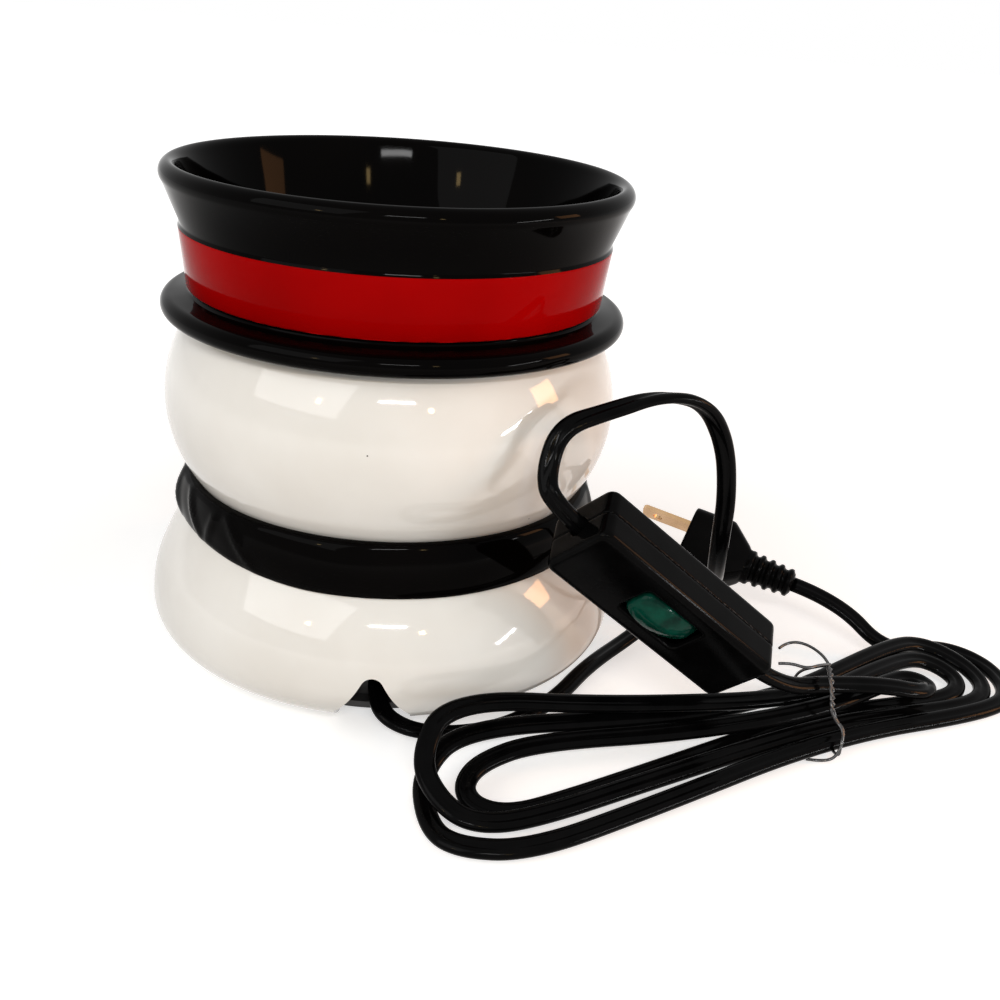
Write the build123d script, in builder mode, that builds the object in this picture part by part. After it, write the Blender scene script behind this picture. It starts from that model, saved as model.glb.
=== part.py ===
"""Electric wax melt warmer shaped as a snowman in a hat, with its corded rocker switch, in millimetres.

The warmer stands on its feet with its axis on +Z and its cord notch at -Y. A glazed dish, the hat, lifts off a
heating plate in the mouth of a hollow ceramic body. The twin cord runs from the notch to an inline switch, through
a tied hank and on to the plug.
"""
from build123d import *
import math
import os

os.makedirs("parts", exist_ok=True)

# Ceramic body
foot_height = 1.6
foot_opening_radius = 44.5
foot_ring_height = 7.5
cover_land = 4.3
foot_rim = 2.7
haunch_radius = 65.6
haunch_height = 9.5
belly_radius = 71.6
belly_height = 20.5
neck_radius = 62.0
scarf_bottom_height = 44.3
scarf_width = 15.3
scarf_relief = 0.9
scarf_tuck = 1.0
collar_step = 2.4
head_radius = 66.9
head_rise = 47.2
crown_draw = 6.3
body_wall = 4.5
ledge_radius = 45.0
ledge_drop = 5.0
mouth_radius = 52.5
rim_bevel = 1.2

# Folds in the scarf, angles from -Y towards -X
crease_angles = (40.0, 48.0, 56.0, 64.0, 72.0)
crease_slant = 24.0
crease_radius = 2.4
crease_depth = 0.8
crease_length = 10.0

# Cord notch in the foot
notch_width = 21.0
notch_waist = 12.6
notch_throat = 6.0
notch_straight = 10.0
notch_height = 23.0
notch_crown = 2.0

# Hat dish
dish_lift_gap = 0.6
brim_radius = 67.5
brim_thickness = 6.0
hat_base_radius = 60.2
band_bottom_rise = 1.9
band_width = 17.2
band_top_radius = 62.3
band_relief = 0.7
rim_radius = 67.0
flare_height = 17.7
lip_radius = 2.4
lip_drop = 5.4
dish_wall = 5.0
dish_floor = 5.0
dish_floor_fillet = 9.0
boss_gap = 1.2

# Heating plate stack, from the top down
gasket_thickness = 1.0
plate_thickness = 1.5
plate_gap = 0.5
skirt_depth = 5.5
skirt_wall = 1.5
skirt_gap = 1.5
mica_gap = 4.0
mica_thickness = 0.8
ribbon_thickness = 0.6
ribbon_width = 2.2
ribbon_pitch = 6.0
ribbon_rows = 4
ribbon_clear_of_rod = 5.0
ribbon_margin = 4.0
insulation_thickness = 4.0
clamp_plate_thickness = 1.0
clamp_plate_lip = 2.5
lead_clear = 2.3
tab_x = 11.0
tab_y = 32.5

# Tie rod, nuts and washers
rod_radius = 2.5
rod_hole_gap = 0.3
nut_width = 8.0
nut_thickness = 4.0
washer_radius = 6.0
washer_thickness = 1.0
rod_tip = 1.0

# Thermal fuse and its strap
fuse_radius = 2.0
fuse_length = 12.0
fuse_y = 20.0
fuse_gap = 0.2
strap_thickness = 0.6
strap_width = 6.0
strap_span = 13.0

# Base cover
cover_thickness = 2.0
cover_gap = 0.4
cover_ring_wall = 1.8
cover_ring_rise = 4.4
cover_ring_gap = 0.7
nut_well_radius = 11.0
nut_well_wall = 2.0
nut_well_rise = 6.0
vent_count = 8
vent_ring_radius = 28.0
vent_length = 13.0
vent_width = 3.0
foot_count = 4
foot_pad_radius = 4.5
foot_ring_radius = 38.5

# Cord, its inlet and its joints inside the base
cord_diameter = 5.2
cord_sides = 8
cord_exit_x = 2.2
cord_exit_height = 11.0
cord_exit_y = 46.0
cord_fit = 0.2
clamp_y = 36.0
clamp_length = 22.0
clamp_width = 8.0
clamp_roof = 3.0
clamp_screw_x = 7.4
screw_radius = 1.4
screw_head_radius = 2.6
screw_head_height = 1.8
screw_bite = 3.5
screw_fit = 0.15
wire_radius = 1.1
wire_sides = 8
wire_bend = 1.7
wire_spread = 1.4
splice_radius = 2.6
splice_length = 16.0
splice_x = 8.0
splice_y = 12.0
splice_height = 16.0

# Inline switch, in its own frame: x along the cord, z out of the rocker face
switch_centre = (79.7, -61.5, 49.9)
switch_along = (0.760, 0.157, -0.631)
switch_face = (-0.168, -0.890, -0.424)
switch_length = 68.0
switch_width = 23.0
switch_height = 17.0
switch_wall = 2.0
switch_corner = 3.0
switch_edge = 1.8
switch_cord_depth = 9.0
switch_screw_x = 24.0
switch_screw_y = 7.0
boss_wall = 1.2
rocker_length = 19.2
rocker_width = 10.4
rocker_gap = 0.5
rocker_pivot_depth = 4.3
rocker_edge_rise = 4.4
rocker_crown_rise = 6.8
rocker_skirt = 0.5
rocker_floor = 1.6
rocker_floor_half = 5.0
rocker_tilt = 8.0
rocker_rounding = 1.6
pin_radius = 1.1
pin_fit = 0.2
cheek_thickness = 2.0
cheek_length = 8.0
cheek_drop = 5.0
stem_size = 4.0
stem_drop = 2.0
plunger_radius = 0.9
plunger_length = 2.4
lever_length = 16.0
lever_width = 4.4
lever_thickness = 0.8
lever_tilt = 6.0
lever_pin_radius = 0.6
lever_gap = 0.3
contact_radius = 1.2
contact_height = 0.6
contact_inset = 1.6
post_length = 3.0
terminal_length = 11.0
terminal_width = 5.0
terminal_inset = 2.6
lamp_radius = 2.0
lamp_length = 11.0
lamp_y = 5.0
lamp_height = -0.9
cradle_length = 6.0
cradle_width = 2.6

# Plug, in its own frame: z from the cord end towards the blades
plug_cord_end = (136.0, 15.6, 20.0)
plug_along = (-0.913, 0.374, 0.163)
plug_across = (-0.389, -0.675, -0.627)
relief_length = 17.0
relief_tip_radius = 3.6
relief_root_radius = 5.0
relief_rib_count = 5
relief_rib_rise = 1.2
relief_rib_width = 1.7
plug_shoulder_length = 8.0
plug_grip_length = 14.0
plug_width = 25.0
plug_thickness = 15.0
plug_rounding = 4.5
blade_length = 17.5
blade_width = 6.35
blade_thickness = 1.5
blade_spacing = 12.7
blade_hole_radius = 1.6
blade_hole_rise = 12.0
blade_bevel = 1.0

# Hank, in its own frame: x along the hank, y away from the front strands
hank_origin = (131.6, -45.3, 0.0)
hank_along = (0.930, 0.369, 0.0)
hank_turns = 3
strand_step = 6.0
waist_step = 6.0
strand_height = 2.9
waist_lift = 1.9
layer_step = 6.0
left_end_x = (107.0, 119.0, 126.0)
left_front_y = (-12.5, -22.5, -34.0)
left_back_y = 0.0
left_back_height = 10.0
left_back_rise = 7.0
front_waist_y = -1.2
back_waist_y = -4.0
right_end_x = 55.0
right_front_y = -1.6
right_back_y = (22.0, 30.5, 37.0)
right_back_height = (5.0, 8.0, 5.0)
outer_belly_x = 70.0
outer_belly_y = -26.5
inner_loop_x = 46.0
inner_loop_front = (3.0, 15.2)
inner_loop_back = (13.0, 11.2)
lead_in_length = 14.0
lead_in_waist = (4.0, 0.0, 16.8)
lead_in_turn = (30.0, 2.0, 17.0)
lead_out = (47.0, 38.0, 10.0)
lead_out_length = 16.0

# Wire tie round the waist of the hank
tie_wire = 1.3
tie_fit = 0.3
tie_twist_length = 9.0
tie_twist_radius = 1.2

# Route of the cord from the notch to the switch; the switch gives the last two points
lead_route = [
    (cord_exit_x, -cord_exit_y, cord_exit_height),
    (cord_exit_x, -58.0, cord_exit_height),
    (5.0, -68.0, 7.0),
    (15.0, -71.5, 3.6),
    (28.0, -67.0, 3.0),
    (41.0, -57.0, 3.0),
    (55.0, -39.0, 3.0),
    (66.0, -18.0, 3.0),
    (82.0, 2.0, 4.0),
    (98.0, 13.0, 15.0),
    (107.0, 2.0, 33.0),
    (100.0, -24.0, 51.0),
    (98.9, -33.2, 69.0),
    (94.8, -37.2, 85.5),
    (87.0, -42.3, 97.6),
    (73.9, -47.9, 100.4),
    (60.0, -53.0, 97.4),
    (48.2, -57.2, 94.2),
    (45.2, -61.5, 84.0),
]
lead_approach = 10.0

# Heights and radii that follow from the sizes above
scarf_top_height = scarf_bottom_height + scarf_width
scarf_bulge_height = scarf_bottom_height + 0.6 * scarf_width
scarf_radius = neck_radius + scarf_relief
scarf_shoulder_radius = neck_radius - scarf_tuck
collar_radius = scarf_shoulder_radius - collar_step
head_height = scarf_top_height + 0.506 * head_rise
crown_radius = head_radius - crown_draw
body_top_height = scarf_top_height + head_rise
ledge_height = body_top_height - ledge_drop
plate_bottom = ledge_height + gasket_thickness
plate_top = plate_bottom + plate_thickness
mica_bottom = plate_bottom - mica_thickness
ribbon_bottom = mica_bottom - ribbon_thickness
lower_mica_bottom = ribbon_bottom - mica_thickness
insulation_bottom = lower_mica_bottom - insulation_thickness
clamp_plate_bottom = insulation_bottom - clamp_plate_thickness
cover_top = foot_height + cover_thickness
well_top = cover_top + nut_well_rise
well_ceiling = well_top - nut_well_wall
cover_rebate_radius = foot_opening_radius + cover_land
foot_radius = cover_rebate_radius + foot_rim
skirt_radius = ledge_radius - skirt_gap
mica_radius = skirt_radius - skirt_wall - mica_gap
rod_hole_radius = rod_radius + rod_hole_gap
cord_radius = cord_diameter / 2
lead_flat = tab_y - 2 * wire_radius - lead_clear


def ring(outer, inner):
    """Draws a flat ring in the sketch that is open."""
    Circle(outer)
    Circle(inner, mode=Mode.SUBTRACT)


def flat_disc(radius, flat):
    """Draws a disc with a flat across its -Y side, where the heater leads pass, and a hole for the tie rod."""
    Circle(radius)
    with Locations((0, -flat - radius)):
        Rectangle(2 * radius, 2 * radius, mode=Mode.SUBTRACT)
    Circle(rod_hole_radius, mode=Mode.SUBTRACT)


def tilted(plane, angle):
    """Gives a plane turned about its own y axis, its +x side down for a positive angle."""
    turn = math.radians(angle)
    return Plane(
        origin=plane.origin,
        x_dir=plane.x_dir * math.cos(turn) - plane.z_dir * math.sin(turn),
        z_dir=plane.x_dir * math.sin(turn) + plane.z_dir * math.cos(turn),
    )


def corner_radii(points):
    """Gives each corner of a route the largest arc that its two runs leave room for."""
    places = [Vector(*point) for point in points]
    radii = []
    for before, here, after in zip(places, places[1:], places[2:]):
        run_in = here - before
        run_out = after - here
        half_turn = math.radians(run_in.get_angle(run_out)) / 2
        radii.append(0.45 * min(run_in.length, run_out.length) / math.tan(half_turn))
    return radii


def report_tube(name, solid, path, area):
    """Prints a tube's volume against its section times its length."""
    print(f"{name}: length {path.length:.0f}, volume {solid.volume:.0f}, section x length {area * path.length:.0f}")


cord_area = cord_sides / 2 * cord_radius**2 * math.sin(2 * math.pi / cord_sides)


# Body shell: one casting with the scarf in relief, a notch for the cord and a ledge for the plate
with BuildPart() as body_shell:
    with BuildSketch(Plane.XZ):
        with BuildLine():
            haunch = TangentArc(
                (belly_radius, belly_height), (haunch_radius, haunch_height), tangent=(0, -1)
            )
            sole = TangentArc(haunch @ 1, (foot_radius, foot_height), tangent=haunch % 1)
            TangentArc((belly_radius, belly_height), (neck_radius, scarf_bottom_height), tangent=(0, 1))
            ThreePointArc(
                (neck_radius, scarf_bottom_height),
                (scarf_radius, scarf_bulge_height),
                (scarf_shoulder_radius, scarf_top_height),
            )
            Line((scarf_shoulder_radius, scarf_top_height), (collar_radius, scarf_top_height))
            ThreePointArc(
                (collar_radius, scarf_top_height),
                (head_radius, head_height),
                (crown_radius, body_top_height - rim_bevel),
            )
            Polyline(
                (crown_radius, body_top_height - rim_bevel),
                (crown_radius - rim_bevel, body_top_height),
                (0, body_top_height),
                (0, foot_height),
                (foot_radius, foot_height),
            )
        make_face()
    revolve(axis=Axis.Z)
    with BuildSketch(Plane.XZ):
        with BuildLine():
            inner_haunch = TangentArc(
                (belly_radius - body_wall, belly_height),
                (haunch_radius - body_wall, haunch_height + body_wall),
                tangent=(0, -1),
            )
            inner_belly = TangentArc(
                (belly_radius - body_wall, belly_height),
                (neck_radius - body_wall, scarf_bottom_height),
                tangent=(0, 1),
            )
            Line(inner_belly @ 1, (collar_radius - body_wall, scarf_top_height))
            ThreePointArc(
                (collar_radius - body_wall, scarf_top_height),
                (head_radius - body_wall, head_height),
                (crown_radius - body_wall, ledge_height - body_wall),
            )
            Polyline(
                (crown_radius - body_wall, ledge_height - body_wall),
                (ledge_radius, ledge_height - body_wall),
                (ledge_radius, ledge_height),
                (mouth_radius, ledge_height),
                (mouth_radius, body_top_height),
                (0, body_top_height),
                (0, foot_height),
                (cover_rebate_radius, foot_height),
                (cover_rebate_radius, cover_top),
                (foot_opening_radius, cover_top),
                (foot_opening_radius, foot_height + foot_ring_height),
                inner_haunch @ 1,
            )
        make_face()
    revolve(axis=Axis.Z, mode=Mode.SUBTRACT)
    notch_plane = Plane(
        origin=(cord_exit_x, -foot_opening_radius + body_wall, foot_height), x_dir=(1, 0, 0), z_dir=(0, -1, 0)
    )
    notch_spring = notch_height - notch_crown
    with BuildSketch(notch_plane):
        with BuildLine():
            for side in (-1, 1):
                Line((side * notch_width / 2, 0), (side * notch_width / 2, notch_straight))
                ThreePointArc(
                    (side * notch_width / 2, notch_straight),
                    (side * notch_waist / 2, (notch_straight + notch_spring) / 2),
                    (side * notch_throat / 2, notch_spring),
                )
            ThreePointArc(
                (-notch_throat / 2, notch_spring), (0, notch_height), (notch_throat / 2, notch_spring)
            )
            Line((-notch_width / 2, 0), (notch_width / 2, 0))
        make_face()
    extrude(amount=belly_radius, mode=Mode.SUBTRACT)
    for index, angle in enumerate(crease_angles):
        bearing = math.radians(angle)
        slant = math.radians(crease_slant if index % 2 else -crease_slant)
        reach = scarf_radius + crease_radius - crease_depth
        crease = Plane(
            origin=(
                -reach * math.sin(bearing),
                -reach * math.cos(bearing),
                (scarf_bottom_height + scarf_top_height) / 2,
            ),
            z_dir=(
                math.sin(slant) * math.cos(bearing),
                -math.sin(slant) * math.sin(bearing),
                math.cos(slant),
            ),
        )
        with BuildSketch(crease):
            Circle(crease_radius)
        extrude(amount=crease_length / 2, both=True, mode=Mode.SUBTRACT)
body_shell.part.label = "body_shell"
export_step(body_shell.part, "parts/body_shell.step")


# Hat dish: flared wall with a raised band, on a brim with a boss that stands on the heating plate
brim_bottom = body_top_height + dish_lift_gap
brim_top = brim_bottom + brim_thickness
band_bottom = brim_top + band_bottom_rise
band_top = band_bottom + band_width
rim_top_height = band_top + flare_height
dish_floor_top = plate_top + dish_floor
boss_radius = mouth_radius - boss_gap
inner_lip_radius = rim_radius - dish_wall
with BuildPart() as hat_dish:
    with BuildSketch(Plane.XZ):
        with BuildLine():
            Polyline(
                (0, plate_top),
                (boss_radius, plate_top),
                (boss_radius, brim_bottom),
                (brim_radius - brim_thickness / 2, brim_bottom),
            )
            ThreePointArc(
                (brim_radius - brim_thickness / 2, brim_bottom),
                (brim_radius, (brim_bottom + brim_top) / 2),
                (brim_radius - brim_thickness / 2, brim_top),
            )
            Polyline(
                (brim_radius - brim_thickness / 2, brim_top),
                (hat_base_radius - band_relief, brim_top),
                (hat_base_radius - band_relief, band_bottom),
                (hat_base_radius, band_bottom),
                (band_top_radius, band_top),
                (band_top_radius - band_relief, band_top + band_relief),
                (rim_radius - lip_radius / 4, rim_top_height - lip_drop),
            )
            ThreePointArc(
                (rim_radius - lip_radius / 4, rim_top_height - lip_drop),
                (rim_radius, rim_top_height - lip_radius),
                (rim_radius - lip_radius, rim_top_height),
            )
            ThreePointArc(
                (rim_radius - lip_radius, rim_top_height),
                (inner_lip_radius + 0.4 * lip_radius, rim_top_height - 0.3 * lip_radius),
                (inner_lip_radius, rim_top_height - lip_radius),
            )
            Polyline(
                (inner_lip_radius, rim_top_height - lip_radius),
                (band_top_radius - dish_wall, band_top),
                (hat_base_radius - dish_wall, dish_floor_top + dish_floor_fillet),
            )
            ThreePointArc(
                (hat_base_radius - dish_wall, dish_floor_top + dish_floor_fillet),
                (
                    hat_base_radius - dish_wall - 0.26 * dish_floor_fillet,
                    dish_floor_top + 0.3 * dish_floor_fillet,
                ),
                (hat_base_radius - dish_wall - dish_floor_fillet, dish_floor_top),
            )
            Polyline(
                (hat_base_radius - dish_wall - dish_floor_fillet, dish_floor_top),
                (0, dish_floor_top),
                (0, plate_top),
            )
        make_face()
    revolve(axis=Axis.Z)
hat_dish.part.label = "hat_dish"
export_step(hat_dish.part, "parts/hat_dish.step")


# Heating plate: a spun disc whose flange lies on the gasket and whose skirt centres it in the mouth
with BuildPart() as heating_plate:
    with BuildSketch(Plane.XY.offset(plate_bottom)):
        Circle(mouth_radius - plate_gap)
    extrude(amount=plate_thickness)
    with BuildSketch(Plane.XY.offset(plate_bottom)):
        ring(skirt_radius, skirt_radius - skirt_wall)
    extrude(amount=-skirt_depth)
heating_plate.part.label = "heating_plate"
export_step(heating_plate.part, "parts/heating_plate.step")

with BuildPart() as plate_gasket:
    with BuildSketch(Plane.XY.offset(ledge_height)):
        ring(mouth_radius - plate_gap, ledge_radius)
    extrude(amount=gasket_thickness)
plate_gasket.part.label = "plate_gasket"
export_step(plate_gasket.part, "parts/plate_gasket.step")


# Heater: a resistance ribbon between two mica sheets, an insulation pad and a dished clamp plate
with BuildPart() as mica_upper:
    with BuildSketch(Plane.XY.offset(mica_bottom)):
        Circle(mica_radius)
        Circle(rod_hole_radius, mode=Mode.SUBTRACT)
    extrude(amount=mica_thickness)
mica_upper.part.label = "mica_upper"
export_step(mica_upper.part, "parts/mica_upper.step")

with BuildPart() as mica_lower:
    with BuildSketch(Plane.XY.offset(lower_mica_bottom)):
        flat_disc(mica_radius, lead_flat)
    extrude(amount=mica_thickness)
mica_lower.part.label = "mica_lower"
export_step(mica_lower.part, "parts/mica_lower.step")

half_run = []
for row in range(2 * ribbon_rows):
    row_y = (row - ribbon_rows + 0.5) * ribbon_pitch
    outer_x = math.sqrt((mica_radius - ribbon_margin) ** 2 - row_y**2)
    ends = [(ribbon_clear_of_rod, row_y), (outer_x, row_y)]
    half_run += ends if row % 2 else ends[::-1]
half_run[0] = (tab_x, half_run[0][1])
ribbon_route = [(-x, y) for x, y in half_run] + half_run[::-1]
with BuildPart() as heater_ribbon:
    with BuildSketch(Plane.XY.offset(ribbon_bottom)):
        with BuildLine():
            Polyline((-tab_x, -tab_y), *ribbon_route, (tab_x, -tab_y))
        trace(line_width=ribbon_width)
    extrude(amount=ribbon_thickness)
heater_ribbon.part.label = "heater_ribbon"
export_step(heater_ribbon.part, "parts/heater_ribbon.step")

with BuildPart() as insulation_pad:
    with BuildSketch(Plane.XY.offset(insulation_bottom)):
        flat_disc(mica_radius, lead_flat)
    extrude(amount=insulation_thickness)
insulation_pad.part.label = "insulation_pad"
export_step(insulation_pad.part, "parts/insulation_pad.step")

with BuildPart() as clamp_plate:
    with BuildSketch(Plane.XY.offset(clamp_plate_bottom)):
        flat_disc(mica_radius, lead_flat)
    extrude(amount=clamp_plate_thickness)
    with BuildSketch(Plane.XY.offset(clamp_plate_bottom)):
        flat_disc(mica_radius, lead_flat)
        Circle(mica_radius - clamp_plate_thickness, mode=Mode.SUBTRACT)
    extrude(amount=-clamp_plate_lip)
clamp_plate.part.label = "clamp_plate"
export_step(clamp_plate.part, "parts/clamp_plate.step")


# Tie rod from the heating plate to the nut under the base cover
lower_nut_bottom = well_ceiling - washer_thickness - nut_thickness
with BuildPart() as tie_rod:
    with BuildSketch(Plane.XY.offset(lower_nut_bottom - rod_tip)):
        Circle(rod_radius)
    extrude(until=Until.NEXT, target=heating_plate.part)
tie_rod.part.label = "tie_rod"
export_step(tie_rod.part, "parts/tie_rod.step")

with BuildPart() as rod_washers:
    for height in (clamp_plate_bottom - washer_thickness, well_ceiling - washer_thickness):
        with BuildSketch(Plane.XY.offset(height)):
            ring(washer_radius, rod_hole_radius)
        extrude(amount=washer_thickness)
rod_washers.part.label = "rod_washers"
export_step(rod_washers.part, "parts/rod_washers.step")

with BuildPart() as rod_nuts:
    for height in (clamp_plate_bottom - washer_thickness - nut_thickness, lower_nut_bottom):
        with BuildSketch(Plane.XY.offset(height)):
            RegularPolygon(nut_width / 2, 6, major_radius=False)
            Circle(rod_hole_radius, mode=Mode.SUBTRACT)
        extrude(amount=nut_thickness)
rod_nuts.part.label = "rod_nuts"
export_step(rod_nuts.part, "parts/rod_nuts.step")


# Thermal fuse, strapped under the clamp plate
fuse_height = clamp_plate_bottom - fuse_gap - fuse_radius
with BuildPart() as thermal_fuse:
    with BuildSketch(Plane.YZ.offset(-fuse_length / 2)):
        with Locations((-fuse_y, fuse_height)):
            Circle(fuse_radius)
    extrude(amount=fuse_length)
    chamfer(thermal_fuse.edges().filter_by(GeomType.CIRCLE), length=fuse_radius / 3)
thermal_fuse.part.label = "thermal_fuse"
export_step(thermal_fuse.part, "parts/thermal_fuse.step")

strap_inner = fuse_radius + fuse_gap
with BuildPart() as fuse_strap:
    with BuildSketch(Plane.YZ.offset(-strap_width / 2)):
        with Locations((-fuse_y, clamp_plate_bottom - strap_thickness / 2)):
            Rectangle(strap_span, strap_thickness)
        with Locations((-fuse_y, fuse_height)):
            Circle(strap_inner + strap_thickness)
        with Locations((-fuse_y, fuse_height)):
            Circle(strap_inner, mode=Mode.SUBTRACT)
        with Locations((-fuse_y, fuse_height + strap_inner)):
            Rectangle(2 * strap_inner, 2 * strap_inner, mode=Mode.SUBTRACT)
        with Locations((-fuse_y, clamp_plate_bottom + strap_span / 2)):
            Rectangle(strap_span, strap_span, mode=Mode.SUBTRACT)
    extrude(amount=strap_width)
fuse_strap.part.label = "fuse_strap"
export_step(fuse_strap.part, "parts/fuse_strap.step")


# Insulated leads from the heater to the splices, one of them by way of the fuse
splice_top = splice_height + splice_length
lead_start = ribbon_bottom
lead_bend = 2.5 * wire_radius
lead_y = tab_y - wire_radius
direct_lead = [
    (tab_x, -lead_y, lead_start),
    (tab_x, -lead_y, splice_top + splice_length * 2),
    (splice_x, -splice_y, splice_top + splice_length / 2),
    (splice_x, -splice_y, splice_top),
]
fuse_feed = [
    (-tab_x, -lead_y, lead_start),
    (-tab_x, -lead_y, fuse_height),
    (-tab_x, -fuse_y, fuse_height),
    (-fuse_length / 2, -fuse_y, fuse_height),
]
fuse_return = [
    (fuse_length / 2, -fuse_y, fuse_height),
    (tab_x, -fuse_y, fuse_height),
    (tab_x, -fuse_y, fuse_height - splice_length),
    (-splice_x, -splice_y, splice_top + splice_length / 2),
    (-splice_x, -splice_y, splice_top),
]


with BuildPart() as heater_leads:
    for route in (direct_lead, fuse_feed, fuse_return):
        with BuildLine() as path:
            FilletPolyline(*route, radius=lead_bend)
        with BuildSketch(Plane(origin=path.line @ 0, z_dir=path.line % 0)):
            RegularPolygon(wire_radius, wire_sides)
        sweep()
heater_leads.part.label = "heater_leads"
export_step(heater_leads.part, "parts/heater_leads.step")

with BuildPart() as wire_splices:
    with BuildSketch(Plane.XY.offset(splice_height)):
        with Locations((-splice_x, -splice_y), (splice_x, -splice_y)):
            Circle(splice_radius)
    extrude(amount=splice_length)
    chamfer(wire_splices.edges().filter_by(GeomType.CIRCLE), length=splice_radius / 4)
wire_splices.part.label = "wire_splices"
export_step(wire_splices.part, "parts/wire_splices.step")


# Base cover, let into the foot, with the nut's well, vents and the saddle for the cord
saddle_top = cord_exit_height - cord_radius - cord_fit
with BuildPart() as base_cover:
    with BuildSketch(Plane.XY.offset(foot_height)):
        Circle(cover_rebate_radius - cover_gap)
        with PolarLocations(vent_ring_radius, vent_count, start_angle=180 / vent_count):
            SlotOverall(vent_length, vent_width, mode=Mode.SUBTRACT)
    extrude(amount=cover_thickness)
    with BuildSketch(Plane.XY.offset(cover_top)):
        ring(foot_opening_radius - cover_ring_gap, foot_opening_radius - cover_ring_gap - cover_ring_wall)
    extrude(amount=cover_ring_rise)
    with BuildSketch(Plane.XY.offset(cover_top)):
        Circle(nut_well_radius + nut_well_wall)
    extrude(amount=nut_well_rise)
    with BuildSketch(Plane.XY.offset(foot_height)):
        Circle(nut_well_radius)
    extrude(amount=well_ceiling - foot_height, mode=Mode.SUBTRACT)
    with BuildSketch(Plane.XY.offset(well_ceiling)):
        Circle(rod_hole_radius)
    extrude(amount=nut_well_wall, mode=Mode.SUBTRACT)
    with BuildSketch(Plane.XY.offset(cover_top)):
        with Locations((cord_exit_x, -clamp_y)):
            Rectangle(clamp_length, clamp_width)
    extrude(amount=saddle_top - cover_top)
    with BuildSketch(Plane.XY.offset(saddle_top)):
        with Locations((cord_exit_x - clamp_screw_x, -clamp_y), (cord_exit_x + clamp_screw_x, -clamp_y)):
            Circle(screw_radius + screw_fit)
    extrude(amount=-screw_bite - screw_fit, mode=Mode.SUBTRACT)
base_cover.part.label = "base_cover"
export_step(base_cover.part, "parts/base_cover.step")

with BuildPart() as rubber_feet:
    with BuildSketch(Plane.XY):
        with PolarLocations(foot_ring_radius, foot_count, start_angle=180 / foot_count):
            Circle(foot_pad_radius)
    extrude(amount=foot_height)
rubber_feet.part.label = "rubber_feet"
export_step(rubber_feet.part, "parts/rubber_feet.step")


# Cord clamp over the saddle, with its two screws
clamp_top = cord_exit_height + cord_radius + cord_fit + clamp_roof
with BuildPart() as cord_clamp:
    with BuildSketch(Plane.XZ.offset(clamp_y - clamp_width / 2)):
        with Locations((cord_exit_x, (saddle_top + clamp_top) / 2)):
            Rectangle(clamp_length, clamp_top - saddle_top)
        with Locations((cord_exit_x, (saddle_top + clamp_top - clamp_roof) / 2)):
            Rectangle(cord_diameter + 2 * cord_fit, clamp_top - clamp_roof - saddle_top, mode=Mode.SUBTRACT)
    extrude(amount=clamp_width)
    with BuildSketch(Plane.XY.offset(clamp_top)):
        with Locations((cord_exit_x - clamp_screw_x, -clamp_y), (cord_exit_x + clamp_screw_x, -clamp_y)):
            Circle(screw_radius + screw_fit)
    extrude(amount=saddle_top - clamp_top, mode=Mode.SUBTRACT)
cord_clamp.part.label = "cord_clamp"
export_step(cord_clamp.part, "parts/cord_clamp.step")

with BuildPart() as clamp_screws:
    with BuildSketch(Plane.XY.offset(clamp_top)):
        with Locations((cord_exit_x - clamp_screw_x, -clamp_y), (cord_exit_x + clamp_screw_x, -clamp_y)):
            Circle(screw_head_radius)
    extrude(amount=screw_head_height)
    with BuildSketch(Plane.XY.offset(clamp_top)):
        with Locations((cord_exit_x - clamp_screw_x, -clamp_y), (cord_exit_x + clamp_screw_x, -clamp_y)):
            Circle(screw_radius)
    extrude(amount=saddle_top - clamp_top - screw_bite)
clamp_screws.part.label = "clamp_screws"
export_step(clamp_screws.part, "parts/clamp_screws.step")


# Cord end inside the base: the jacket through the clamp and its two conductors up to the splices
jacket_end_y = clamp_y - clamp_width
with BuildPart() as cord_tail:
    with BuildSketch(Plane.XZ.offset(jacket_end_y)):
        with Locations((cord_exit_x, cord_exit_height)):
            RegularPolygon(cord_radius, cord_sides)
    extrude(amount=cord_exit_y - jacket_end_y)
    for side in (-1, 1):
        conductor_x = cord_exit_x + side * wire_spread
        conductor = [
            (conductor_x, -jacket_end_y, cord_exit_height),
            (conductor_x, -jacket_end_y + 2 * lead_bend, cord_exit_height),
            (side * splice_x, -splice_y, cord_exit_height),
            (side * splice_x, -splice_y, splice_height),
        ]
        with BuildLine() as path:
            FilletPolyline(*conductor, radius=wire_bend)
        with BuildSketch(Plane(origin=path.line @ 0, z_dir=path.line % 0)):
            RegularPolygon(wire_radius, wire_sides)
        sweep()
cord_tail.part.label = "cord_tail"
export_step(cord_tail.part, "parts/cord_tail.step")


# Inline switch housing: two shells that meet on the cord's own plane
switch_plane = Plane(origin=switch_centre, x_dir=switch_along, z_dir=switch_face)
switch_side = Plane(
    origin=switch_plane.origin, x_dir=switch_plane.x_dir, z_dir=switch_plane.y_dir * -1
)
half_height = switch_height / 2
roof = half_height - switch_wall
pivot_height = half_height - rocker_pivot_depth
switch_screw_places = [(switch_screw_x, switch_screw_y), (-switch_screw_x, -switch_screw_y)]
boss_radius_switch = screw_radius + screw_fit + boss_wall


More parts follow.
